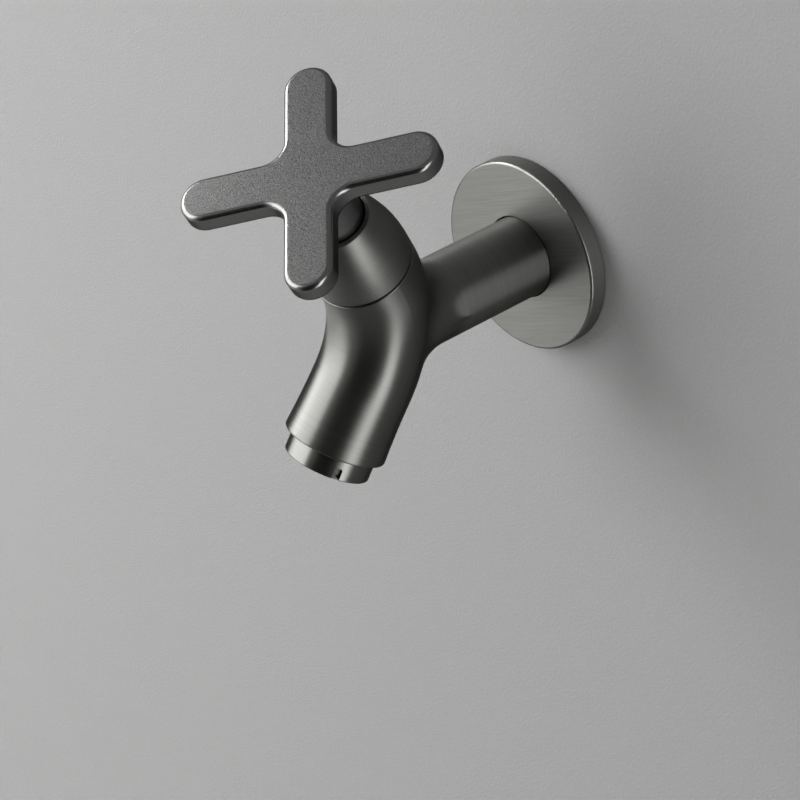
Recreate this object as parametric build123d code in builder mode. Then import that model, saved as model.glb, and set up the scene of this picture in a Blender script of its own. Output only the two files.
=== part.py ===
"""A wall-mounted tap: bent body on a wall pipe, ceramic quarter-turn valve, cross handle, sliding flange.

Millimetres, +Z up. The origin is where the pipe's axis meets the wall, the wall is the plane Y = 0, and
the tap stands out from it towards -Y. The rest position is the open valve, with the four arms in an X.
"""

import os
from math import cos, radians, sin, tan

from build123d import *

# Lines that everything is hung on
LEAN = 30  # the bonnet leans this far forward of straight up, and the spout of straight down, in degrees
REACH = 50.7  # from the wall to the point where the bonnet's and the spout's axes cross
RISE = 2.1  # from the pipe's axis up to that point
BEND_RADIUS = 35.3  # centreline of the bend that joins the bonnet's neck to the spout
OUTLET_LEAN = 28  # the outlet leans less far forward than the spout that carries it

# Body casting
PIPE_RADIUS = 11.0
NECK_RADIUS = 13.25
SPOUT_END_RADIUS = 14.0
NECK_TOP = 23.8  # from the crossing point, along the bonnet's axis
SPOUT_END = 37.7  # from the crossing point, along the spout's axis
SPOUT_TRIM = 1.3  # left on the spout until its end is cut square to the outlet
CROTCH_ROUND = 12.0  # where the pipe runs into the bend
SPOUT_END_ROUND = 0.6
SEAM_CHAMFER = 0.15
SPIGOT_RADIUS = 12.0  # the ring that the bonnet cover screws onto
SPIGOT_TOP = 28.5

# Inlet thread, G 1/2
THREAD_RADIUS = 10.4775
THREAD_ROOT_RADIUS = 9.32
THREAD_PITCH = 1.814
THREAD_LENGTH = 15.0
THREAD_CREST = 0.6  # the flat left on each crest
THREAD_FLOOR = 0.35  # the flat at the bottom of each groove
THREAD_LEAD = 1.0
INLET_BORE_RADIUS = 6.25
INLET_BORE_DEPTH = 53.0  # from the wall to the blind end

# Waterway inside the body
SEAT_LEVEL = 9.5  # the valve's seat, along the bonnet's axis
SEAT_HOLE_RADIUS = 4.2
SEAT_LAND_RADIUS = 7.4
TRENCH_DEPTH = 2.0
CHAMBER_RADIUS = 9.6
CHAMBER_TOP = 18.5
HEADWORK_THREAD_RADIUS = 10.45
DOWNWAY_RADIUS = 3.2  # the upright bore from the valve chamber to the spout
DOWNWAY_TOP = 7.5
SOCKET_RADIUS = 12.0  # M24 socket for the aerator
SOCKET_FLOOR = 30.9
PLENUM_RADIUS = 9.4
PLENUM_TOP = 26.2

# Wall flange
FLANGE_RADIUS = 26.5
FLANGE_THICKNESS = 5.1
FLANGE_PLATE = 1.8
FLANGE_RIM = 2.1
FLANGE_EDGE_ROUND = 0.7
FLANGE_BACK_ROUND = 0.3
FLANGE_HUB_RADIUS = 14.8
FLANGE_FRONT_HOLE = 11.5
FLANGE_GUIDE_HOLE = 11.06
FLANGE_GROOVE_RADIUS = 13.0
FLANGE_GUIDE_LENGTH = 1.2
FLANGE_RING_SECTION = 0.95
WALL_GASKET_GAP = 0.1

# Bonnet cover
COVER_SEAM = 0.9
COVER_BELLY = 26.0  # below this the cover is a cylinder, above it an arc
COVER_ARC_RADIUS = 43.6
COVER_TOP = 44.2
COVER_WALL = 1.25
COVER_MOUTH_RADIUS = 8.1
COVER_LIP = 1.0
COVER_LIP_ROUND = 0.35

# Headwork: the valve cartridge, along the bonnet's axis
RUNNING_GAP = 0.05
SEAL_THICKNESS = 2.0
SEAL_INNER_RADIUS = 4.4
SEAL_OUTER_RADIUS = 7.2
DISC_RADIUS = 8.0
FIXED_DISC_THICKNESS = 3.0
TURNING_DISC_THICKNESS = 2.5
DISC_WINDOW_ANGLE = 80
DISC_WINDOW_INNER = 2.2
DISC_WINDOW_OUTER = 5.4
SKIRT_RADIUS = 9.0
SKIRT_BOTTOM = 11.0
DISC_ROOM_TOP = 19.2
PORT_LOW = 14.8
PORT_HIGH = 18.4
PORT_WIDTH = 11.0
MID_BORE_RADIUS = 5.6
MID_BORE_TOP = 25.0
GUIDE_BORE_RADIUS = 4.55
GASKET_THICKNESS = 0.8
COLLAR_RADIUS = 11.4
COLLAR_THICKNESS = 1.7
HEX_ACROSS_FLATS = 18.0
HEX_TOP = 36.0
HEADWORK_NECK_RADIUS = 7.0
HEADWORK_TOP = 39.6
STOP_FLOOR = 37.2
STOP_ROOM_RADIUS = 6.0
STOP_LUG_RADIUS = 5.9
STOP_LUG_ANGLE = 30
QUARTER_TURN = 90

# Spindle
SPINDLE_RADIUS = 4.5
SPINDLE_FOOT_RADIUS = 7.6
SPINDLE_FOOT_THICKNESS = 2.0
SPINDLE_SHOULDER_RADIUS = 5.5
SPINDLE_SHOULDER_TOP = 24.2
SPINDLE_TOP = 53.0
DRIVE_LUG_DEPTH = 1.0
DRIVE_LUG_WIDTH = 3.0
DRIVE_LUG_OUTER = 7.0
DRIVE_LUG_INNER = 5.9
O_RING_LEVELS = (28.0, 32.0)
O_RING_SECTION = 0.6
O_RING_GROOVE_RADIUS = 3.3
O_RING_GROOVE_WIDTH = 1.5
CLIP_LEVEL = 39.75
CLIP_THICKNESS = 0.7
CLIP_RADIUS = 5.6
CLIP_GROOVE_RADIUS = 3.4
CLIP_OPENING = 4.0
SPLINE_RADIUS = 3.9
SPLINE_BOTTOM = 41.0
SPLINE_TEETH = 20
SPLINE_CUT_RADIUS = 0.33

# Cross handle
HANDLE_FACE = 63.1
HANDLE_THICKNESS = 6.0
ARM_HALF_SPAN = 32.85
ARM_WIDTH = 12.3
ARM_INNER_ROUND = 5.8
HANDLE_EDGE_ROUND = 1.4
HUB_RADIUS = 7.7
HUB_BOTTOM = 41.4
HUB_ROOT_ROUND = 0.8
HUB_EDGE_CHAMFER = 0.4
HUB_BORE_RADIUS = 5.5
HUB_BORE_TOP = 54.8
INSERT_BOTTOM = 42.4
GRUB_LEVEL = 48.5
GRUB_RADIUS = 2.0
GRUB_TIP = 3.95
GRUB_HEAD = 7.4
GRUB_SOCKET_ACROSS_FLATS = 2.0
GRUB_SOCKET_DEPTH = 1.6

# Aerator, along the outlet's axis
AERATOR_RADIUS = 11.97  # of the part that screws into the socket
AERATOR_RING_RADIUS = 11.6  # of the part that shows
AERATOR_RING_TOP = 36.6
AERATOR_BOTTOM = 43.4
AERATOR_SHELL_TOP = 33.0
AERATOR_BORE_RADIUS = 10.6
AERATOR_LIP_RADIUS = 9.9
AERATOR_LIP_THICKNESS = 1.2
AERATOR_EDGE_ROUND = 0.3
KEY_NOTCH_WIDTH = 2.2
KEY_NOTCH_HEIGHT = 3.2
KEY_NOTCH_ROUND = 0.7
KEY_NOTCH_TURN = 35  # of the first notch from +X towards the front
AERATOR_WASHER_INNER = 9.6
AERATOR_WASHER_OUTER = 11.7
GRID_THICKNESS = 0.9
GRID_PITCH = 2.0
GRID_HOLE = 1.6  # across flats
GRID_COUNT = 9  # rows, and holes in a row, before those that the rim would cut are left out
GRID_RIM_INNER = 9.0
GRID_RIM_OUTER = 9.8
GRID_RIM_PROUD = 0.4  # of the shell's bottom edge
INSERT_RADIUS = 10.5
INSERT_WALL = 1.2
INSERT_PLATE = 1.5
INSERT_HOLE_RADIUS = 0.8
INSERT_HOLE_CIRCLES = ((3.0, 6), (6.0, 12))  # radius of each circle of holes, and how many it has

# Axes and half-section planes. In a half-section X is the radius and Y the distance along the axis.
ACROSS = Vector(1, 0, 0)
CROSSING = Vector(0, -REACH, RISE)
BONNET_WAY = Vector(0, -sin(radians(LEAN)), cos(radians(LEAN)))
SPOUT_WAY = Vector(0, -sin(radians(LEAN)), -cos(radians(LEAN)))
OUTLET_WAY = Vector(0, -sin(radians(OUTLET_LEAN)), -cos(radians(OUTLET_LEAN)))
OUTWARD = Vector(0, -1, 0)

PIPE_AXIS = Axis((0, 0, 0), OUTWARD)
BONNET_AXIS = Axis(CROSSING, BONNET_WAY)
SPOUT_AXIS = Axis(CROSSING, SPOUT_WAY)
# the outlet's axis meets the spout's where the spout ends
OUTLET_AXIS = Axis(CROSSING + (SPOUT_WAY - OUTLET_WAY) * SPOUT_END, OUTLET_WAY)


def half_section(axis):
    """The plane that a turned piece's outline is drawn in."""
    return Plane(origin=axis.position, x_dir=ACROSS, z_dir=ACROSS.cross(axis.direction))


def level(axis, distance):
    """The plane square to an axis, at a distance along it. Its X is the model's X."""
    return Plane(origin=axis.position + axis.direction * distance, x_dir=ACROSS, z_dir=axis.direction)


def turn(axis, *outline, mode=Mode.ADD):
    """Revolve a closed outline of (radius, distance) corners about an axis, in the part being built."""
    with BuildSketch(half_section(axis)) as profile:
        with BuildLine():
            Polyline(*outline, close=True)
        make_face()
    revolve(profile.sketch, axis=axis, mode=mode)


def ring(axis, inner, outer, low, high, mode=Mode.ADD):
    """A square-edged ring, or a disc where the inner radius is 0."""
    turn(axis, (inner, low), (outer, low), (outer, high), (inner, high), mode=mode)


def o_ring(axis, middle, section, distance):
    """A round-section ring."""
    with BuildSketch(half_section(axis)) as profile:
        with Locations((middle, distance)):
            Circle(section)
    revolve(profile.sketch, axis=axis)


def corner(axis, distance, radius, edges):
    """The circular edges of one radius at one distance along an axis."""
    centre = axis.position + axis.direction * distance
    circles = edges.filter_by(GeomType.CIRCLE)
    return circles.filter_by(
        lambda edge: abs(edge.radius - radius) < 0.01 and (edge.arc_center - centre).length < 0.01
    )


# Body: one casting of pipe, neck and spout, bored for the water, the valve and the aerator
bend_leg = BEND_RADIUS * tan(radians(90 - LEAN) / 2)
bend_centre = CROSSING + OUTWARD * (BEND_RADIUS / cos(radians(90 - LEAN) / 2))
thread_groove = (THREAD_PITCH - THREAD_CREST - THREAD_FLOOR) / 2
thread_turns = int((THREAD_LENGTH - THREAD_LEAD) / THREAD_PITCH)

with BuildPart() as body:
    with BuildSketch(Plane(origin=(0, 0, 0), x_dir=(0, 0, -1), z_dir=OUTWARD)):
        Circle(PIPE_RADIUS)
    extrude(amount=-bend_centre.Y - BEND_RADIUS)
    with BuildSketch(level(BONNET_AXIS, bend_leg)):
        Circle(NECK_RADIUS)
    revolve(axis=Axis(bend_centre, ACROSS), revolution_arc=4 * LEAN - 180)
    ring(BONNET_AXIS, 0, NECK_RADIUS, bend_leg, NECK_TOP)
    spout_stock = SPOUT_END + SPOUT_TRIM
    with BuildSketch(half_section(SPOUT_AXIS)):
        with BuildLine():
            wall = TangentArc((NECK_RADIUS, bend_leg), (SPOUT_END_RADIUS, spout_stock), tangent=(0, 1))
            Polyline(wall @ 1, (0, spout_stock), (0, bend_leg), wall @ 0)
        make_face()
    revolve(axis=SPOUT_AXIS)
    fillet(body.edges().filter_by(GeomType.BSPLINE), CROTCH_ROUND)
    ring(OUTLET_AXIS, 0, SPOUT_END_RADIUS + 1, SPOUT_END, SPOUT_END + 3 * SPOUT_TRIM, mode=Mode.SUBTRACT)
    fillet(body.faces().sort_by(OUTLET_AXIS)[-1].edges(), SPOUT_END_ROUND)
    chamfer(corner(BONNET_AXIS, NECK_TOP, NECK_RADIUS, body.edges()), SEAM_CHAMFER)
    ring(BONNET_AXIS, 0, SPIGOT_RADIUS, NECK_TOP - 1, SPIGOT_TOP)

    # inlet thread, drawn as rings, with a bevelled lead
    ring(PIPE_AXIS, 0, THREAD_RADIUS, -THREAD_LENGTH, 0)
    turn(
        PIPE_AXIS,
        (THREAD_RADIUS - THREAD_LEAD, -THREAD_LENGTH),
        (THREAD_RADIUS + 1, -THREAD_LENGTH),
        (THREAD_RADIUS + 1, 1 + THREAD_LEAD - THREAD_LENGTH),
        mode=Mode.SUBTRACT,
    )
    for count in range(thread_turns):
        start = -THREAD_CREST - count * THREAD_PITCH
        turn(
            PIPE_AXIS,
            (THREAD_RADIUS, start),
            (THREAD_ROOT_RADIUS, start - thread_groove),
            (THREAD_ROOT_RADIUS, start - thread_groove - THREAD_FLOOR),
            (THREAD_RADIUS, start - 2 * thread_groove - THREAD_FLOOR),
            mode=Mode.SUBTRACT,
        )

    # water comes in along the pipe, up through the seat, and down the front to the spout
    ring(PIPE_AXIS, 0, INLET_BORE_RADIUS, -THREAD_LENGTH, INLET_BORE_DEPTH, mode=Mode.SUBTRACT)
    turn(
        BONNET_AXIS,
        (0, 0),
        (SEAT_HOLE_RADIUS, 0),
        (SEAT_HOLE_RADIUS, SEAT_LEVEL),
        (SEAT_LAND_RADIUS, SEAT_LEVEL),
        (SEAT_LAND_RADIUS, SEAT_LEVEL - TRENCH_DEPTH),
        (CHAMBER_RADIUS, SEAT_LEVEL - TRENCH_DEPTH),
        (CHAMBER_RADIUS, CHAMBER_TOP),
        (HEADWORK_THREAD_RADIUS, CHAMBER_TOP),
        (HEADWORK_THREAD_RADIUS, SPIGOT_TOP),
        (0, SPIGOT_TOP),
        mode=Mode.SUBTRACT,
    )
    downway_foot = CROSSING + SPOUT_WAY * (PLENUM_TOP + 1)
    downway = Axis((0, downway_foot.Y, downway_foot.Z), (0, 0, 1))
    ring(downway, 0, DOWNWAY_RADIUS, 0, DOWNWAY_TOP - downway_foot.Z, mode=Mode.SUBTRACT)
    turn(
        OUTLET_AXIS,
        (0, PLENUM_TOP),
        (PLENUM_RADIUS, PLENUM_TOP),
        (PLENUM_RADIUS, SOCKET_FLOOR),
        (SOCKET_RADIUS, SOCKET_FLOOR),
        (SOCKET_RADIUS, SPOUT_END),
        (0, SPOUT_END),
        mode=Mode.SUBTRACT,
    )
body.part.label = "body"

# Wall flange: a shallow turned shell with a hub that holds a ring against the pipe
plate_back = FLANGE_THICKNESS - FLANGE_PLATE
with BuildPart() as wall_flange:
    turn(
        PIPE_AXIS,
        (FLANGE_GUIDE_HOLE, 0),
        (FLANGE_HUB_RADIUS, 0),
        (FLANGE_HUB_RADIUS, plate_back),
        (FLANGE_RADIUS - FLANGE_RIM, plate_back),
        (FLANGE_RADIUS - FLANGE_RIM, 0),
        (FLANGE_RADIUS, 0),
        (FLANGE_RADIUS, FLANGE_THICKNESS),
        (FLANGE_FRONT_HOLE, FLANGE_THICKNESS),
        (FLANGE_FRONT_HOLE, plate_back),
        (FLANGE_GROOVE_RADIUS, plate_back),
        (FLANGE_GROOVE_RADIUS, FLANGE_GUIDE_LENGTH),
        (FLANGE_GUIDE_HOLE, FLANGE_GUIDE_LENGTH),
    )
    fillet(corner(PIPE_AXIS, FLANGE_THICKNESS, FLANGE_RADIUS, wall_flange.edges()), FLANGE_EDGE_ROUND)
    fillet(corner(PIPE_AXIS, 0, FLANGE_RADIUS, wall_flange.edges()), FLANGE_BACK_ROUND)
wall_flange.part.label = "wall_flange"

with BuildPart() as flange_o_ring:
    o_ring(
        PIPE_AXIS,
        FLANGE_GROOVE_RADIUS - FLANGE_RING_SECTION - 0.02,
        FLANGE_RING_SECTION,
        (FLANGE_GUIDE_LENGTH + plate_back) / 2,
    )
flange_o_ring.part.label = "flange_o_ring"

with BuildPart() as flange_wall_gasket:
    ring(PIPE_AXIS, FLANGE_HUB_RADIUS, FLANGE_RADIUS - FLANGE_RIM, WALL_GASKET_GAP, plate_back)
flange_wall_gasket.part.label = "flange_wall_gasket"


def cover_radius(distance, inset=0):
    """The cover's outer radius at a distance along the bonnet's axis, or that of a line inset from it."""
    above = distance - COVER_BELLY
    arc = COVER_ARC_RADIUS - inset
    return NECK_RADIUS - COVER_ARC_RADIUS + (arc**2 - above**2) ** 0.5


# Bonnet cover: a thin dome that screws onto the body's spigot and hides the headwork
cover_bottom = NECK_TOP + COVER_SEAM
cavity_top = COVER_TOP - COVER_LIP
with BuildPart() as bonnet_cover:
    with BuildSketch(half_section(BONNET_AXIS)):
        with BuildLine():
            bottom_edge = (NECK_RADIUS, cover_bottom)
            belly = (NECK_RADIUS, COVER_BELLY)
            shoulder = (cover_radius(COVER_TOP), COVER_TOP)
            Line(bottom_edge, belly)
            TangentArc(belly, shoulder, tangent=(0, 1))
            inner_shoulder = (cover_radius(cavity_top, COVER_WALL), cavity_top)
            inner_middle = (cover_radius(HEX_TOP, COVER_WALL), HEX_TOP)
            thread_end = (cover_radius(SPIGOT_TOP, COVER_WALL), SPIGOT_TOP)
            mouth = ((COVER_MOUTH_RADIUS, COVER_TOP), (COVER_MOUTH_RADIUS, cavity_top))
            Polyline(shoulder, *mouth, inner_shoulder)
            ThreePointArc(inner_shoulder, inner_middle, thread_end)
            Polyline(thread_end, (SPIGOT_RADIUS, SPIGOT_TOP), (SPIGOT_RADIUS, cover_bottom), bottom_edge)
        make_face()
    revolve(axis=BONNET_AXIS)
    chamfer(corner(BONNET_AXIS, cover_bottom, NECK_RADIUS, bonnet_cover.edges()), SEAM_CHAMFER)
    fillet(corner(BONNET_AXIS, COVER_TOP, cover_radius(COVER_TOP), bonnet_cover.edges()), COVER_LIP_ROUND)
bonnet_cover.part.label = "bonnet_cover"

# Headwork housing: screws into the neck, carries the discs below and the spindle through its middle
collar_bottom = SPIGOT_TOP + GASKET_THICKNESS
collar_top = collar_bottom + COLLAR_THICKNESS
stop_room_angle = QUARTER_TURN + STOP_LUG_ANGLE
with BuildPart() as headwork_housing:
    turn(
        BONNET_AXIS,
        (DISC_RADIUS + RUNNING_GAP, SKIRT_BOTTOM),
        (SKIRT_RADIUS, SKIRT_BOTTOM),
        (SKIRT_RADIUS, CHAMBER_TOP),
        (HEADWORK_THREAD_RADIUS, CHAMBER_TOP),
        (HEADWORK_THREAD_RADIUS, collar_bottom),
        (COLLAR_RADIUS, collar_bottom),
        (COLLAR_RADIUS, collar_top),
        (HEADWORK_NECK_RADIUS, collar_top),
        (HEADWORK_NECK_RADIUS, HEADWORK_TOP),
        (GUIDE_BORE_RADIUS, HEADWORK_TOP),
        (GUIDE_BORE_RADIUS, MID_BORE_TOP),
        (MID_BORE_RADIUS, MID_BORE_TOP),
        (MID_BORE_RADIUS, DISC_ROOM_TOP),
        (DISC_RADIUS + RUNNING_GAP, DISC_ROOM_TOP),
    )
    with BuildSketch(level(BONNET_AXIS, collar_top)):
        RegularPolygon(HEX_ACROSS_FLATS / 2, 6, major_radius=False)
        Circle(HEADWORK_NECK_RADIUS - 1, mode=Mode.SUBTRACT)
    extrude(amount=HEX_TOP - collar_top)
    with BuildSketch(level(BONNET_AXIS, PORT_LOW)):
        Rectangle(4 * SKIRT_RADIUS, PORT_WIDTH)
    extrude(amount=PORT_HIGH - PORT_LOW, mode=Mode.SUBTRACT)
    # the sector that the spindle's stop lug turns in
    with BuildSketch(level(BONNET_AXIS, STOP_FLOOR)):
        with BuildLine():
            low_side = PolarLine((0, 0), STOP_ROOM_RADIUS, STOP_LUG_ANGLE / 2 + 1)
            rim = CenterArc((0, 0), STOP_ROOM_RADIUS, STOP_LUG_ANGLE / 2 + 1, -stop_room_angle - 2)
            Line(rim @ 1, (0, 0))
        make_face()
    extrude(amount=HEADWORK_TOP - STOP_FLOOR, mode=Mode.SUBTRACT)
headwork_housing.part.label = "headwork_housing"

with BuildPart() as headwork_gasket:
    ring(BONNET_AXIS, HEADWORK_THREAD_RADIUS, COLLAR_RADIUS, SPIGOT_TOP, collar_bottom)
headwork_gasket.part.label = "headwork_gasket"

with BuildPart() as seat_seal:
    ring(BONNET_AXIS, SEAL_INNER_RADIUS, SEAL_OUTER_RADIUS, SEAT_LEVEL, SEAT_LEVEL + SEAL_THICKNESS)
seat_seal.part.label = "seat_seal"


def disc_windows(low, thickness):
    """Cut the two facing windows that the water goes through when both discs' windows line up."""
    half_angle = DISC_WINDOW_ANGLE / 2
    with BuildSketch(level(BONNET_AXIS, low)) as windows:
        for middle in (90, 270):
            with BuildLine():
                outer_arc = CenterArc((0, 0), DISC_WINDOW_OUTER, middle - half_angle, DISC_WINDOW_ANGLE)
                inner_arc = CenterArc((0, 0), DISC_WINDOW_INNER, middle - half_angle, DISC_WINDOW_ANGLE)
                Line(outer_arc @ 0, inner_arc @ 0)
                Line(outer_arc @ 1, inner_arc @ 1)
            make_face()
    extrude(windows.sketch, amount=thickness, mode=Mode.SUBTRACT)


# Ceramic discs: the lower one is held by the housing, the upper one turns with the spindle
fixed_disc_bottom = SEAT_LEVEL + SEAL_THICKNESS
turning_disc_bottom = fixed_disc_bottom + FIXED_DISC_THICKNESS + RUNNING_GAP
turning_disc_top = turning_disc_bottom + TURNING_DISC_THICKNESS
with BuildPart() as fixed_ceramic_disc:
    ring(BONNET_AXIS, 0, DISC_RADIUS, fixed_disc_bottom, fixed_disc_bottom + FIXED_DISC_THICKNESS)
    disc_windows(fixed_disc_bottom, FIXED_DISC_THICKNESS)
fixed_ceramic_disc.part.label = "fixed_ceramic_disc"

with BuildPart() as turning_ceramic_disc:
    ring(BONNET_AXIS, 0, DISC_RADIUS - RUNNING_GAP, turning_disc_bottom, turning_disc_top)
    disc_windows(turning_disc_bottom, TURNING_DISC_THICKNESS)
    # notches that the spindle's foot drives
    with BuildSketch(level(BONNET_AXIS, turning_disc_top - DRIVE_LUG_DEPTH)):
        Rectangle(2 * DISC_RADIUS, DRIVE_LUG_WIDTH)
        Circle(DRIVE_LUG_INNER, mode=Mode.SUBTRACT)
    extrude(amount=DRIVE_LUG_DEPTH, mode=Mode.SUBTRACT)
turning_ceramic_disc.part.label = "turning_ceramic_disc"

# Spindle: foot with drive lugs, shoulder, two ring grooves, stop lug, clip groove, splined end
foot_top = turning_disc_top + SPINDLE_FOOT_THICKNESS
with BuildPart() as spindle:
    turn(
        BONNET_AXIS,
        (0, turning_disc_top),
        (SPINDLE_FOOT_RADIUS, turning_disc_top),
        (SPINDLE_FOOT_RADIUS, foot_top),
        (SPINDLE_SHOULDER_RADIUS, foot_top),
        (SPINDLE_SHOULDER_RADIUS, SPINDLE_SHOULDER_TOP),
        (SPINDLE_RADIUS, SPINDLE_SHOULDER_TOP),
        (SPINDLE_RADIUS, CLIP_LEVEL),
        (CLIP_GROOVE_RADIUS, CLIP_LEVEL),
        (CLIP_GROOVE_RADIUS, CLIP_LEVEL + CLIP_THICKNESS),
        (SPLINE_RADIUS, CLIP_LEVEL + CLIP_THICKNESS),
        (SPLINE_RADIUS, SPINDLE_TOP - 0.5),
        (SPLINE_RADIUS - 0.5, SPINDLE_TOP),
        (0, SPINDLE_TOP),
    )
    for ring_level in O_RING_LEVELS:
        ring(
            BONNET_AXIS,
            O_RING_GROOVE_RADIUS,
            SPINDLE_RADIUS + 1,
            ring_level - O_RING_GROOVE_WIDTH / 2,
            ring_level + O_RING_GROOVE_WIDTH / 2,
            mode=Mode.SUBTRACT,
        )
    # water turns from the disc's windows to the housing's ports through two flats on the foot
    with BuildSketch(level(BONNET_AXIS, turning_disc_top)):
        with Locations((0, SPINDLE_FOOT_RADIUS), (0, -SPINDLE_FOOT_RADIUS)):
            Rectangle(2 * DISC_WINDOW_OUTER, 2 * (SPINDLE_FOOT_RADIUS - DISC_WINDOW_INNER))
        Rectangle(2 * SPINDLE_FOOT_RADIUS, 2 * DISC_WINDOW_INNER, mode=Mode.SUBTRACT)
    extrude(amount=SPINDLE_FOOT_THICKNESS - 0.6, mode=Mode.SUBTRACT)
    with BuildSketch(level(BONNET_AXIS, turning_disc_top - DRIVE_LUG_DEPTH)):
        Rectangle(2 * DRIVE_LUG_OUTER, DRIVE_LUG_WIDTH)
        Circle(DRIVE_LUG_INNER, mode=Mode.SUBTRACT)
    extrude(amount=DRIVE_LUG_DEPTH)
    with BuildSketch(level(BONNET_AXIS, STOP_FLOOR + RUNNING_GAP)):
        with BuildLine():
            lug_rim = CenterArc((0, 0), STOP_LUG_RADIUS, -STOP_LUG_ANGLE / 2, STOP_LUG_ANGLE)
            Polyline(lug_rim @ 1, (SPINDLE_RADIUS - 1, 0), lug_rim @ 0)
        make_face()
    extrude(amount=HEADWORK_TOP - STOP_FLOOR - 2 * RUNNING_GAP)
    with BuildSketch(level(BONNET_AXIS, SPLINE_BOTTOM)):
        with PolarLocations(SPLINE_RADIUS, SPLINE_TEETH):
            Circle(SPLINE_CUT_RADIUS)
    extrude(amount=SPINDLE_TOP - SPLINE_BOTTOM, mode=Mode.SUBTRACT)
spindle.part.label = "spindle"

with BuildPart() as spindle_o_rings:
    for ring_level in O_RING_LEVELS:
        o_ring(BONNET_AXIS, O_RING_GROOVE_RADIUS + O_RING_SECTION, O_RING_SECTION, ring_level)
spindle_o_rings.part.label = "spindle_o_rings"

with BuildPart() as spindle_thrust_washer:
    ring(
        BONNET_AXIS,
        SPINDLE_RADIUS,
        SPINDLE_SHOULDER_RADIUS,
        SPINDLE_SHOULDER_TOP,
        MID_BORE_TOP - RUNNING_GAP,
    )
spindle_thrust_washer.part.label = "spindle_thrust_washer"

with BuildPart() as spindle_circlip:
    ring(BONNET_AXIS, CLIP_GROOVE_RADIUS, CLIP_RADIUS, CLIP_LEVEL, CLIP_LEVEL + CLIP_THICKNESS)
    with BuildSketch(level(BONNET_AXIS, CLIP_LEVEL)):
        with Locations((0, CLIP_RADIUS)):
            Rectangle(CLIP_OPENING, 2 * CLIP_RADIUS)
    extrude(amount=CLIP_THICKNESS, mode=Mode.SUBTRACT)
spindle_circlip.part.label = "spindle_circlip"

# Cross handle: a flat plate of two crossed bars with round ends, and a hub that goes down into the cover
grub_plane = Plane(
    origin=BONNET_AXIS.position + BONNET_WAY * GRUB_LEVEL,
    x_dir=ACROSS,
    z_dir=BONNET_WAY.cross(ACROSS),
)
handle_back = HANDLE_FACE - HANDLE_THICKNESS
with BuildPart() as cross_handle:
    with BuildSketch(level(BONNET_AXIS, handle_back)) as cross:
        for bar_turn in (45, -45):
            SlotOverall(2 * ARM_HALF_SPAN, ARM_WIDTH, rotation=bar_turn)
        crotches = cross.vertices().sort_by(lambda vertex: (vertex.X**2 + vertex.Y**2) ** 0.5)[:4]
        fillet(crotches, ARM_INNER_ROUND)
    extrude(amount=HANDLE_THICKNESS)
    rims = cross_handle.faces().filter_by(Plane(origin=CROSSING, z_dir=BONNET_WAY)).edges()
    fillet(rims, HANDLE_EDGE_ROUND)
    with BuildSketch(level(BONNET_AXIS, HUB_BOTTOM)):
        Circle(HUB_RADIUS)
    extrude(amount=handle_back + 1 - HUB_BOTTOM)
    fillet(corner(BONNET_AXIS, handle_back, HUB_RADIUS, cross_handle.edges()), HUB_ROOT_ROUND)
    chamfer(corner(BONNET_AXIS, HUB_BOTTOM, HUB_RADIUS, cross_handle.edges()), HUB_EDGE_CHAMFER)
    ring(BONNET_AXIS, 0, HUB_BORE_RADIUS, HUB_BOTTOM, HUB_BORE_TOP, mode=Mode.SUBTRACT)
    with BuildSketch(grub_plane):
        Circle(GRUB_RADIUS)
    extrude(amount=2 * HUB_RADIUS, mode=Mode.SUBTRACT)
cross_handle.part.label = "cross_handle"

with BuildPart() as spline_insert:
    ring(BONNET_AXIS, SPLINE_RADIUS, HUB_BORE_RADIUS, INSERT_BOTTOM, HUB_BORE_TOP)
    with BuildSketch(grub_plane):
        Circle(GRUB_RADIUS)
    extrude(amount=2 * HUB_RADIUS, mode=Mode.SUBTRACT)
spline_insert.part.label = "spline_insert"

with BuildPart() as handle_grub_screw:
    with BuildSketch(grub_plane.offset(GRUB_TIP)):
        Circle(GRUB_RADIUS)
    extrude(amount=GRUB_HEAD - GRUB_TIP)
    with BuildSketch(grub_plane.offset(GRUB_HEAD - GRUB_SOCKET_DEPTH)):
        RegularPolygon(GRUB_SOCKET_ACROSS_FLATS / 2, 6, major_radius=False)
    extrude(amount=GRUB_SOCKET_DEPTH, mode=Mode.SUBTRACT)
handle_grub_screw.part.label = "handle_grub_screw"

# Aerator: notched shell, washer, jet insert and outlet grid, in the spout's socket
lip_top = AERATOR_BOTTOM - AERATOR_LIP_THICKNESS
with BuildPart() as aerator_shell:
    turn(
        OUTLET_AXIS,
        (AERATOR_BORE_RADIUS, AERATOR_SHELL_TOP),
        (AERATOR_RADIUS, AERATOR_SHELL_TOP),
        (AERATOR_RADIUS, AERATOR_RING_TOP),
        (AERATOR_RING_RADIUS, AERATOR_RING_TOP),
        (AERATOR_RING_RADIUS, AERATOR_BOTTOM),
        (AERATOR_LIP_RADIUS, AERATOR_BOTTOM),
        (AERATOR_LIP_RADIUS, lip_top),
        (AERATOR_BORE_RADIUS, lip_top),
    )
    outer_edge = corner(OUTLET_AXIS, AERATOR_BOTTOM, AERATOR_RING_RADIUS, aerator_shell.edges())
    fillet(outer_edge, AERATOR_EDGE_ROUND)
    # two facing slots for the key that unscrews it
    notch_way = ACROSS.rotate(Axis((0, 0, 0), OUTLET_WAY), KEY_NOTCH_TURN)
    bottom_centre = level(OUTLET_AXIS, AERATOR_BOTTOM).origin
    with BuildSketch(Plane(bottom_centre, OUTLET_WAY.cross(notch_way), notch_way)):
        RectangleRounded(KEY_NOTCH_WIDTH, 2 * KEY_NOTCH_HEIGHT, KEY_NOTCH_ROUND)
    extrude(amount=2 * AERATOR_RADIUS, both=True, mode=Mode.SUBTRACT)
aerator_shell.part.label = "aerator_shell"

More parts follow.
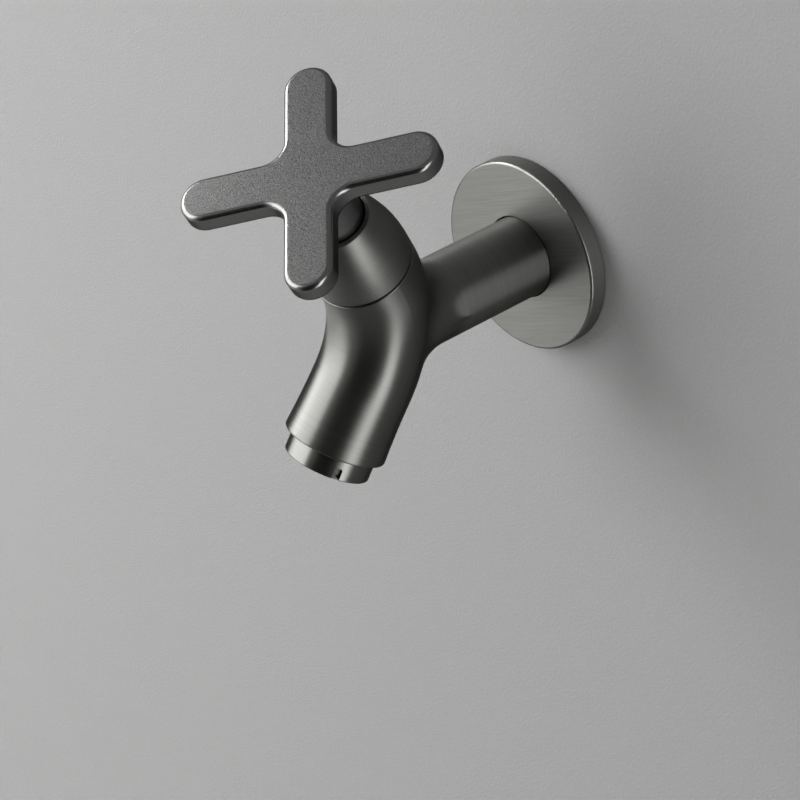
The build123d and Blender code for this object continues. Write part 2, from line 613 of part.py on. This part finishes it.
with BuildPart() as aerator_washer:
    ring(OUTLET_AXIS, AERATOR_WASHER_INNER, AERATOR_WASHER_OUTER, SOCKET_FLOOR, AERATOR_SHELL_TOP)
aerator_washer.part.label = "aerator_washer"

# the grid's rim fills the shell's mouth, so that nothing shows through the slots
grid_top = lip_top - GRID_THICKNESS
with BuildPart() as aerator_grid:
    with BuildSketch(level(OUTLET_AXIS, grid_top)):
        Circle(INSERT_RADIUS)
        honeycomb = HexLocations(GRID_PITCH / 2, GRID_COUNT, GRID_COUNT, major_radius=False).local_locations
        whole = [cell for cell in honeycomb if cell.position.length < GRID_RIM_INNER - GRID_HOLE / 2]
        with Locations(*whole):
            RegularPolygon(GRID_HOLE / 2, 6, major_radius=False, mode=Mode.SUBTRACT)
    extrude(amount=GRID_THICKNESS)
    ring(OUTLET_AXIS, GRID_RIM_INNER, GRID_RIM_OUTER, grid_top, AERATOR_BOTTOM + GRID_RIM_PROUD)
aerator_grid.part.label = "aerator_grid"

with BuildPart() as aerator_insert:
    turn(
        OUTLET_AXIS,
        (0, AERATOR_SHELL_TOP),
        (INSERT_RADIUS, AERATOR_SHELL_TOP),
        (INSERT_RADIUS, grid_top),
        (INSERT_RADIUS - INSERT_WALL, grid_top),
        (INSERT_RADIUS - INSERT_WALL, AERATOR_SHELL_TOP + INSERT_PLATE),
        (0, AERATOR_SHELL_TOP + INSERT_PLATE),
    )
    for circle_radius, hole_count in INSERT_HOLE_CIRCLES:
        with BuildSketch(level(OUTLET_AXIS, AERATOR_SHELL_TOP)):
            with PolarLocations(circle_radius, hole_count):
                Circle(INSERT_HOLE_RADIUS)
        extrude(amount=INSERT_PLATE, mode=Mode.SUBTRACT)
aerator_insert.part.label = "aerator_insert"

os.makedirs("parts", exist_ok=True)
pieces = (
    body,
    wall_flange,
    flange_o_ring,
    flange_wall_gasket,
    bonnet_cover,
    headwork_housing,
    headwork_gasket,
    seat_seal,
    fixed_ceramic_disc,
    turning_ceramic_disc,
    spindle,
    spindle_o_rings,
    spindle_thrust_washer,
    spindle_circlip,
    cross_handle,
    spline_insert,
    handle_grub_screw,
    aerator_shell,
    aerator_washer,
    aerator_grid,
    aerator_insert,
)
for piece in pieces:
    export_step(piece.part, f"parts/{piece.part.label}.step")
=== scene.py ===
"""Finishes, wall, floor, lamps and camera for the wall-mounted tap.

Metres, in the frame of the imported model: the wall is the plane Y = 0, the tap stands out towards -Y, and
+Z is up.
"""

from math import cos, pi, radians, sin

import bpy
from mathutils import Matrix, Vector

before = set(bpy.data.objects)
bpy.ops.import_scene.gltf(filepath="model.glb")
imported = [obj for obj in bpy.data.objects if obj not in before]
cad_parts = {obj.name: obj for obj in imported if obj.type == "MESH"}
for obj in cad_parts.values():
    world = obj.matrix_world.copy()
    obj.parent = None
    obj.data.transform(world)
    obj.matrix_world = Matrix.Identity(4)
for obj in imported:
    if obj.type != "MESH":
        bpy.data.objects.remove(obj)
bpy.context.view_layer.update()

MM = 0.001

# The tap's axes
LEAN = radians(30)  # of the bonnet from straight up, and of the spout from straight down
OUTLET_LEAN = radians(28)  # of the spout's end and the aerator from straight down
SPOUT_REACH = 37.7  # mm from the crossing to the spout's end
ROOT = Vector((0, 0, 0))  # where the pipe's axis meets the wall
CROSSING = Vector((0, -50.7, 2.1)) * MM  # where the bonnet's and the spout's axes cross
PIPE_WAY = Vector((0, 1, 0))
BONNET_WAY = Vector((0, -sin(LEAN), cos(LEAN)))
SPOUT_WAY = Vector((0, -sin(LEAN), -cos(LEAN)))
OUTLET_WAY = Vector((0, -sin(OUTLET_LEAN), -cos(OUTLET_LEAN)))
OUTLET = CROSSING + SPOUT_WAY * SPOUT_REACH * MM  # middle of the spout's end

# Camera, where it stood for the photograph
CAMERA_PLACE = Vector((0.43612, -0.48103, 0.43362))
CAMERA_AZIMUTH = 45.12  # degrees, like the next two
CAMERA_ELEVATION = 36.84
CAMERA_ROLL = 3.17
CAMERA_LENS = 132.1  # mm
CAMERA_NEAR = 0.05
CAMERA_FAR = 50

camera = bpy.data.objects.new("camera", bpy.data.cameras.new("camera"))
camera.data.lens = CAMERA_LENS
camera.data.clip_start = CAMERA_NEAR
camera.data.clip_end = CAMERA_FAR
camera.matrix_world = (
    Matrix.Translation(CAMERA_PLACE)
    @ Matrix.Rotation(radians(CAMERA_AZIMUTH), 4, "Z")
    @ Matrix.Rotation(radians(90 - CAMERA_ELEVATION), 4, "X")
    @ Matrix.Rotation(radians(CAMERA_ROLL), 4, "Z")
)
bpy.context.scene.collection.objects.link(camera)
bpy.context.scene.camera = camera
bpy.context.scene.view_settings.view_transform = "Standard"


def linear(code):
    """An sRGB hex colour as linear RGBA."""
    levels = [int(code[i : i + 2], 16) / 255 for i in (1, 3, 5)]
    return tuple(c / 12.92 if c <= 0.04045 else ((c + 0.055) / 1.055) ** 2.4 for c in levels) + (1.0,)


def live(sockets, name=None):
    """The socket of that number, or the one in use by that name, or the first in use."""
    if isinstance(name, int):
        return sockets[name]
    return next(s for s in sockets if s.enabled and name in (None, s.name))


def add(tree, kind, inputs=None, **settings):
    """Add a node with its settings. An input takes a value, a socket, or a node by its first output."""
    made = tree.nodes.new(kind)
    for name, value in settings.items():
        setattr(made, name, value)
    for name, value in (inputs or {}).items():
        if isinstance(value, bpy.types.Node):
            value = live(value.outputs)
        if isinstance(value, bpy.types.NodeSocket):
            tree.links.new(value, live(made.inputs, name))
        else:
            live(made.inputs, name).default_value = value
    return made


# Patterns. Each gives a level from 0 to 1, at the grain's real size or as coarse as it needs to show.
LINE_DETAIL = 3.0  # times that each line is split into finer ones


def grit(size_mm, detail=2.0):
    """Grains of one size, alike in every direction: blasting, moulded skin, foam, pressed fibre, paint."""

    def pattern(tree, coords):
        return add(
            tree,
            "ShaderNodeTexNoise",
            {"Vector": coords.outputs["Object"], "Scale": 1 / (size_mm * MM), "Detail": detail},
        )

    return pattern


def hairlines(way, width_mm, length_mm):
    """Straight brushing along one direction."""

    def pattern(tree, coords):
        local = add(
            tree,
            "ShaderNodeMapping",
            {
                "Vector": coords.outputs["Object"],
                "Rotation": way.to_track_quat("Z", "Y").to_euler(),
                "Scale": Vector((width_mm, width_mm, length_mm)) * MM,
            },
            vector_type="TEXTURE",
        )
        return add(tree, "ShaderNodeTexNoise", {"Vector": local, "Scale": 1.0, "Detail": LINE_DETAIL})

    return pattern


def turned(way, origin, width_mm):
    """Fine rings about an axis, as a lathe or a brush held against a turning part leaves them."""

    def pattern(tree, coords):
        local = add(
            tree,
            "ShaderNodeMapping",
            {
                "Vector": coords.outputs["Object"],
                "Location": origin,
                "Rotation": way.to_track_quat("Z", "Y").to_euler(),
                "Scale": Vector((width_mm, width_mm, width_mm)) * MM,
            },
            vector_type="TEXTURE",
        )
        flat = add(tree, "ShaderNodeVectorMath", {0: local, 1: (1, 1, 0)}, operation="MULTIPLY")
        radius = add(tree, "ShaderNodeVectorMath", {0: flat}, operation="LENGTH")
        height = add(tree, "ShaderNodeSeparateXYZ", {"Vector": local}).outputs["Z"]
        rings = add(tree, "ShaderNodeCombineXYZ", {"X": radius, "Y": height})
        return add(tree, "ShaderNodeTexNoise", {"Vector": rings, "Scale": 1.0, "Detail": LINE_DETAIL})

    return pattern


# The body's tubes, whose brushing passes from one to the next
BRUSH_LINES = 0.35  # mm between lines; real ones are about 0.1 mm apart, too fine to show
NECK_TO_SPOUT = 14 * MM  # above and below the pipe's axis
TUBE_TO_PIPE = -46 * MM, -33 * MM  # along Y
PIPE_PARTING = 6 * MM  # above and below the pipe's axis


def by_tube(tree, coords, kind, on_pipe, on_neck, on_spout):
    """One of three values of a kind, by whether the place is on the pipe, the bonnet's neck or the spout."""
    place = add(tree, "ShaderNodeSeparateXYZ", {"Vector": coords.outputs["Object"]})
    above = add(
        tree,
        "ShaderNodeMapRange",
        {"Value": place.outputs["Z"], "From Min": -NECK_TO_SPOUT, "From Max": NECK_TO_SPOUT},
    )
    at_wall = add(
        tree,
        "ShaderNodeMapRange",
        {"Value": place.outputs["Y"], "From Min": TUBE_TO_PIPE[0], "From Max": TUBE_TO_PIPE[1]},
        interpolation_type="SMOOTHSTEP",
    )
    tube = add(tree, "ShaderNodeMix", {"Factor": above, "A": on_spout, "B": on_neck}, data_type=kind)
    return add(tree, "ShaderNodeMix", {"Factor": at_wall, "A": tube, "B": on_pipe}, data_type=kind)


def brushed_tubes(tree, coords):
    """Brushing that runs round the pipe, the bonnet's neck and the spout, each about its own axis."""
    axes = (PIPE_WAY, ROOT), (BONNET_WAY, CROSSING), (SPOUT_WAY, CROSSING)
    rings = [turned(way, origin, BRUSH_LINES)(tree, coords) for way, origin in axes]
    return by_tube(tree, coords, "FLOAT", *rings)


def along_tubes(tree, coords):
    """The way along each tube, in which its brushing draws a highlight out.

    It runs up the spout and on up the bonnet. Along the pipe it runs outwards above and inwards below, so
    that it keeps its sense where it passes into the bonnet and into the spout.
    """
    place = add(tree, "ShaderNodeSeparateXYZ", {"Vector": coords.outputs["Object"]})
    parting = add(
        tree,
        "ShaderNodeMapRange",
        {
            "Value": place.outputs["Z"],
            "From Min": -PIPE_PARTING,
            "From Max": PIPE_PARTING,
            "To Min": 1,
            "To Max": -1,
        },
    )
    out_of_pipe = add(tree, "ShaderNodeVectorMath", {0: PIPE_WAY, "Scale": parting}, operation="SCALE")
    return by_tube(tree, coords, "VECTOR", out_of_pipe, BONNET_WAY, -SPOUT_WAY)


def along(way):
    """One way all over, in which a highlight is drawn out by brushing across it."""

    def stretch(tree, coords):
        return add(tree, "ShaderNodeCombineXYZ", {"X": way.x, "Y": way.y, "Z": way.z})

    return stretch


# The flange, brushed straight across its face
FLANGE_BRUSHING = Vector((0.87, 0, 0.5))  # up to the right
FLANGE_LINE_LENGTH = 12  # mm
FLANGE_STRETCH = Vector((-0.5, 3, 0.87))  # across the brushing on the face, and across the rim
RIM_EDGE = 0.5, 0.1  # cosines of the normal's angle to the pipe, at the edge and on the rim


def flange_rim(tree, coords):
    """0 on the flange's flat faces, rising to 1 over its rounded edge onto the rim."""
    normal = add(tree, "ShaderNodeSeparateXYZ", {"Vector": coords.outputs["Normal"]})
    facing = add(tree, "ShaderNodeMath", {0: normal.outputs["Y"]}, operation="ABSOLUTE")
    return add(
        tree,
        "ShaderNodeMapRange",
        {"Value": facing, "From Min": RIM_EDGE[0], "From Max": RIM_EDGE[1]},
    )


# The handle, blasted on its face and brushed on its sides
BLASTED_GRAINS = 0.3  # mm; real ones are about 0.1 mm, too fine to show
SIDE_LINES = 0.12  # mm between lines
SIDE_LINE_LENGTH = 3  # mm
SIDE_TONES = 0.4, 0.6  # of the way from the darker tone to the paler one
FACE_EDGE = 0.97, 0.995  # cosines of the normal's angle to the bonnet, at the edge and on the face


def handle_face(tree, coords):
    """1 on the handle's flat face, falling to 0 over its rounded edge."""
    facing = add(
        tree,
        "ShaderNodeVectorMath",
        {0: coords.outputs["Normal"], 1: BONNET_WAY},
        operation="DOT_PRODUCT",
    )
    return add(
        tree,
        "ShaderNodeMapRange",
        {"Value": facing, "From Min": FACE_EDGE[0], "From Max": FACE_EDGE[1]},
    )


def blasted_face(tree, coords):
    """Blasted grains on the handle's flat face, and fine brushing on its sides."""
    brushing = hairlines(BONNET_WAY, SIDE_LINES, SIDE_LINE_LENGTH)(tree, coords)
    sides = add(
        tree,
        "ShaderNodeMapRange",
        {"Value": brushing, "To Min": SIDE_TONES[0], "To Max": SIDE_TONES[1]},
    )
    face = grit(BLASTED_GRAINS, detail=0.0)(tree, coords)
    return add(tree, "ShaderNodeMix", {"Factor": handle_face(tree, coords), "A": sides, "B": face})


def surface(
    name,
    pattern,
    tones,
    roughness,
    relief_mm,
    metallic=0.0,
    ior=1.5,
    spread_by=None,
    edge="#FFFFFF",
    brushing=0.0,
    stretch=None,
):
    """A finish whose pattern runs between two tones and two roughnesses, and stands up from the surface.

    Where the roughness goes by something else, spread_by is that pattern. Edge tints what a metal mirrors at
    a low angle. Brushing, from 0 to 1, draws highlights out along the way that stretch gives.
    """
    material = bpy.data.materials.new(name)
    material.use_nodes = True
    tree = material.node_tree
    tree.nodes.clear()
    coords = add(tree, "ShaderNodeTexCoord")
    level = pattern(tree, coords)
    tone = add(
        tree,
        "ShaderNodeMix",
        {"Factor": level, "A": linear(tones[0]), "B": linear(tones[1])},
        data_type="RGBA",
    )
    spread = add(
        tree,
        "ShaderNodeMapRange",
        {
            "Value": spread_by(tree, coords) if spread_by else level,
            "To Min": roughness[0],
            "To Max": roughness[1],
        },
    )
    relief = add(tree, "ShaderNodeBump", {"Height": level, "Distance": relief_mm * MM, "Strength": 1.0})
    shader = add(
        tree,
        "ShaderNodeBsdfPrincipled",
        {
            "Base Color": tone,
            "Roughness": spread,
            "Metallic": metallic,
            "IOR": ior,
            "Normal": relief,
            "Specular Tint": linear(edge),
            "Anisotropic": brushing,
        },
    )
    if stretch:
        tree.links.new(live(stretch(tree, coords).outputs), shader.inputs["Tangent"])
    add(tree, "ShaderNodeOutputMaterial", {"Surface": shader})
    return material


# Gunmetal PVD on brass: a thin hard grey coat, so the eye sees the brushing or blasting beneath it
GUNMETAL = "#545452", "#696967"
BLASTED_GUNMETAL = "#343434", "#868685"  # between the grains, and on them
GUNMETAL_EDGE = "#909090"  # the coat's fine roughness dulls it at a low angle
gunmetal_tubes = surface(
    "gunmetal_pvd_brushed_casting",
    brushed_tubes,
    GUNMETAL,
    roughness=(0.35, 0.45),
    relief_mm=0.004,
    metallic=1.0,
    edge=GUNMETAL_EDGE,
    brushing=0.85,
    stretch=along_tubes,
)
gunmetal_cover = surface(
    "gunmetal_pvd_brushed_cover",
    turned(BONNET_WAY, CROSSING, BRUSH_LINES),
    GUNMETAL,
    roughness=(0.42, 0.5),
    relief_mm=0.003,
    metallic=1.0,
    edge=GUNMETAL_EDGE,
    brushing=0.6,
    stretch=along(BONNET_WAY),
)
gunmetal_aerator = surface(
    "gunmetal_pvd_turned_aerator",
    turned(OUTLET_WAY, OUTLET, BRUSH_LINES),
    GUNMETAL,
    roughness=(0.29, 0.39),
    relief_mm=0.004,
    metallic=1.0,
    edge=GUNMETAL_EDGE,
    brushing=0.8,
    stretch=along(OUTLET_WAY),
)
gunmetal_flange = surface(
    "gunmetal_pvd_brushed_flange",
    hairlines(FLANGE_BRUSHING, BRUSH_LINES, FLANGE_LINE_LENGTH),
    GUNMETAL,
    roughness=(0.34, 0.62),
    relief_mm=0.004,
    metallic=1.0,
    spread_by=flange_rim,
    edge=GUNMETAL_EDGE,
    brushing=0.4,
    stretch=along(FLANGE_STRETCH),
)
gunmetal_handle = surface(
    "gunmetal_pvd_blasted_handle",
    blasted_face,
    BLASTED_GUNMETAL,
    roughness=(0.26, 0.34),
    relief_mm=0.06,
    metallic=1.0,
    spread_by=handle_face,
    edge=GUNMETAL_EDGE,
)

# Turned brass, uncoated inside the tap: warm yellow, with rings from the lathe 0.2 mm apart
brass_headwork = surface(
    "turned_brass",
    turned(BONNET_WAY, CROSSING, width_mm=0.2),
    ("#C9A45A", "#DDBB74"),
    roughness=(0.22, 0.34),
    relief_mm=0.004,
    metallic=1.0,
)
# Stainless steel, turned or stamped: neutral and bright, with rings 0.1 mm apart
stainless = surface(
    "turned_stainless_steel",
    turned(BONNET_WAY, CROSSING, width_mm=0.1),
    ("#A9A9A6", "#BEBEBB"),
    roughness=(0.2, 0.32),
    relief_mm=0.002,
    metallic=1.0,
)
# Nitrile rubber, moulded: black with a dull skin
rubber = surface(
    "moulded_nitrile_rubber",
    grit(size_mm=0.25),
    ("#171717", "#1F1F1F"),
    roughness=(0.55, 0.7),
    relief_mm=0.01,
)
# Closed-cell polyethylene foam, cut from sheet: dark grey, with its 0.6 mm cells open along the cut
foam = surface(
    "cut_polyethylene_foam",
    grit(size_mm=0.6, detail=4.0),
    ("#303133", "#4A4B4D"),
    roughness=(0.8, 0.95),
    relief_mm=0.12,
)
# Vulcanised fibre, pressed: brick red and dull
fibre = surface(
    "pressed_fibre",
    grit(size_mm=0.4, detail=4.0),
    ("#8A3A28", "#A14B35"),
    roughness=(0.7, 0.85),
    relief_mm=0.02,
)
# Alumina, lapped flat: warm white, close to a polish
alumina = surface(
    "lapped_alumina",
    grit(size_mm=0.1),
    ("#E4E2DC", "#EFEDE7"),
    roughness=(0.12, 0.2),
    relief_mm=0.001,
    ior=1.76,
)
# Acetal, moulded: milky white with a soft sheen
acetal = surface(
    "moulded_acetal",
    grit(size_mm=0.2),
    ("#D9D9D5", "#E3E3DF"),
    roughness=(0.35, 0.45),
    relief_mm=0.004,
    ior=1.48,
)
# The same in dark grey, in the aerator, whose inside shows through the key slots
grey_acetal = surface(
    "moulded_grey_acetal",
    grit(size_mm=0.2),
    ("#3C3C3D", "#464647"),
    roughness=(0.35, 0.45),
    relief_mm=0.004,
    ior=1.48,
)

finishes = {
    gunmetal_tubes: ["body"],
    gunmetal_cover: ["bonnet_cover"],
    gunmetal_aerator: ["aerator_shell"],
    gunmetal_flange: ["wall_flange"],
    gunmetal_handle: ["cross_handle"],
    brass_headwork: ["headwork_housing", "spindle"],
    stainless: ["spindle_circlip", "handle_grub_screw"],
    rubber: ["flange_o_ring", "seat_seal", "spindle_o_rings", "aerator_washer"],
    foam: ["flange_wall_gasket"],
    fibre: ["headwork_gasket"],
    alumina: ["fixed_ceramic_disc", "turning_ceramic_disc"],
    acetal: ["spindle_thrust_washer", "spline_insert"],
    grey_acetal: ["aerator_grid", "aerator_insert"],
}
for finish, names in finishes.items():
    for name in names:
        for material_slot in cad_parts[name].material_slots:
            material_slot.material = finish

# Wall and floor
WALL_GAP = 0.05 * MM  # keeps the wall off the flange's rim
WALL_REACH = 1.0  # to each side and up
FLANGE_COVERS = 26 * MM  # of the wall, about the pipe's axis
FLOOR_LEVEL = -0.9
FLOOR_REACH = 15  # to each side


def panel(name, corners, material):
    """One flat stage panel from its corners."""
    mesh = bpy.data.meshes.new(name)
    mesh.from_pydata(corners, [], [range(len(corners))])
    mesh.materials.append(material)
    made = bpy.data.objects.new(name, mesh)
    bpy.context.scene.collection.objects.link(made)
    return made


def upright(start, end, bottom, top):
    """The corners of an upright panel that runs from one place in plan to another."""
    return [(*start, bottom), (*end, bottom), (*end, top), (*start, top)]


def leave_out_from_behind(material):
    """Leave the wall out when it is seen from behind, so that the thread and the flange's back can be seen.

    Where the flange covers the wall, it also lets light through to that back, but stays in sight when the
    flange slides off.
    """
    tree = material.node_tree
    painted = next(node for node in tree.nodes if node.type == "BSDF_PRINCIPLED")
    seen_from_behind = add(tree, "ShaderNodeNewGeometry").outputs["Backfacing"]
    coords = add(tree, "ShaderNodeTexCoord")
    off_centre = add(tree, "ShaderNodeVectorMath", {0: coords.outputs["Object"]}, operation="LENGTH")
    covered = add(tree, "ShaderNodeMath", {0: off_centre, 1: FLANGE_COVERS}, operation="LESS_THAN")
    in_sight = add(tree, "ShaderNodeLightPath").outputs["Is Camera Ray"]
    lets_through = add(tree, "ShaderNodeMath", {0: covered, 1: in_sight}, operation="SUBTRACT")
    left_out = add(tree, "ShaderNodeMath", {0: seen_from_behind, 1: lets_through}, operation="MAXIMUM")
    clear = add(tree, "ShaderNodeBsdfTransparent")
    either = add(tree, "ShaderNodeMixShader", {0: left_out, 1: painted, 2: clear})
    tree.links.new(either.outputs[0], tree.nodes["Material Output"].inputs["Surface"])


# Emulsion paint rolled on plaster: matt mid grey with the roller's fine stipple
wall_paint = surface(
    "emulsion_painted_plaster",
    grit(size_mm=0.8, detail=3.0),
    ("#A6A6A6", "#B2B2B2"),
    roughness=(0.9, 1.0),
    relief_mm=0.24,
)
leave_out_from_behind(wall_paint)
panel(
    "wall",
    upright((-WALL_REACH, WALL_GAP), (WALL_REACH, WALL_GAP), FLOOR_LEVEL, WALL_REACH),
    wall_paint,
)
# Sealed screed: pale, matt and a little cloudy
screed = surface(
    "sealed_screed",
    grit(size_mm=60, detail=4.0),
    ("#E2E2E0", "#E9E9E7"),
    roughness=(0.7, 0.8),
    relief_mm=0.0,
)
panel(
    "floor",
    [
        (-FLOOR_REACH, -FLOOR_REACH, FLOOR_LEVEL),
        (FLOOR_REACH, -FLOOR_REACH, FLOOR_LEVEL),
        (FLOOR_REACH, FLOOR_REACH, FLOOR_LEVEL),
        (-FLOOR_REACH, FLOOR_REACH, FLOOR_LEVEL),
    ],
    screed,
)

# Lamps: soft ones at the left, a tall strip at the right, a small one for the handle's face and one behind
MATT_SHARE = 0.28  # of a lamp's brightness in mirrors, so that the wall is not burnt out
MATT_DISTANCE = 2.0  # times as far out as the lamp that mirrors show
TAP_MIDDLE = Vector((0, -0.06, 0))
HANDLE_MIDDLE = Vector((0, -0.082, 0.057))
STRIP_AIM = Vector((0, -0.175, -0.03))


def softbox(name, place, aim, width, height, brightness):
    """A rectangular diffused lamp. Metal mirrors it at that brightness, and matt surfaces get a plain share.

    The share's own lamp stands further out, so that it lights the wall evenly. It is larger there, so that
    its shadows stay soft, and stronger by the square of the distance, so that the tap gets as much light.
    """
    for part, share, distance in (("shine", 1.0, 1.0), ("spread", MATT_SHARE, MATT_DISTANCE)):
        lamp = bpy.data.lights.new(f"{name}_{part}", "AREA")
        lamp.shape = "RECTANGLE"
        lamp.size = width * distance**0.5
        lamp.size_y = height * distance**0.5
        lamp.energy = brightness * share * pi * width * height * distance**2
        made = bpy.data.objects.new(lamp.name, lamp)
        made.location = Vector(place) * distance
        made.rotation_euler = (Vector(place) - aim).to_track_quat("Z", "Y").to_euler()
        made.visible_camera = False
        made.visible_glossy = part == "shine"
        made.visible_diffuse = part == "spread"
        bpy.context.scene.collection.objects.link(made)


softbox("key_left", (-0.58, -0.6, 0.084), TAP_MIDDLE, width=1.0, height=0.82, brightness=6.5)
softbox("top_left", (-0.715, -0.25, 0.25), TAP_MIDDLE, width=0.3, height=0.3, brightness=6.5)
softbox("low_left", (-0.455, -0.442, -0.535), TAP_MIDDLE, width=0.35, height=0.35, brightness=1.8)
softbox("strip_right", (0.75, -0.175, -0.03), STRIP_AIM, width=0.27, height=0.9, brightness=7.0)
softbox("handle_light", (-0.321, -0.155, 0.172), HANDLE_MIDDLE, width=0.15, height=0.15, brightness=9.6)
softbox("back_fill", (0.5, 0.9, 0.5), ROOT, width=0.7, height=0.7, brightness=2.5)

# Black card in front, which gives the tubes their dark band. Only the camera looks through it.
CARD_LEFT = 0.04, -0.56  # X and Y
CARD_RIGHT = 0.5, -0.3  # X and Y
CARD_BOTTOM = -0.5
CARD_TOP = 0.35
card_black = surface(
    "black_card",
    grit(size_mm=3),
    ("#0A0A0A", "#0E0E0E"),
    roughness=(0.9, 1.0),
    relief_mm=0.0,
)
card = panel("black_card", upright(CARD_LEFT, CARD_RIGHT, CARD_BOTTOM, CARD_TOP), card_black)
card.visible_camera = False

# Room: a plain grey that the camera and mirrors see, and a weaker fill for everything matt
BACKGROUND = "#A9A9A9"
FILL = 0.38
world = bpy.data.worlds.new("room")
bpy.context.scene.world = world
world.use_nodes = True
tree = world.node_tree
tree.nodes.clear()
ray = add(tree, "ShaderNodeLightPath").outputs
plain_or_mirrored = add(
    tree,
    "ShaderNodeMath",
    {0: ray["Is Camera Ray"], 1: ray["Is Glossy Ray"]},
    operation="MAXIMUM",
)
seen = add(
    tree,
    "ShaderNodeMath",
    {0: plain_or_mirrored, 1: ray["Is Transmission Ray"]},
    operation="MAXIMUM",
)
room = add(tree, "ShaderNodeBackground", {"Color": linear(BACKGROUND)})
fill = add(tree, "ShaderNodeBackground", {"Color": linear("#FFFFFF"), "Strength": FILL})
either = add(tree, "ShaderNodeMixShader", {0: seen, 1: fill, 2: room})
add(tree, "ShaderNodeOutputWorld", {"Surface": either})
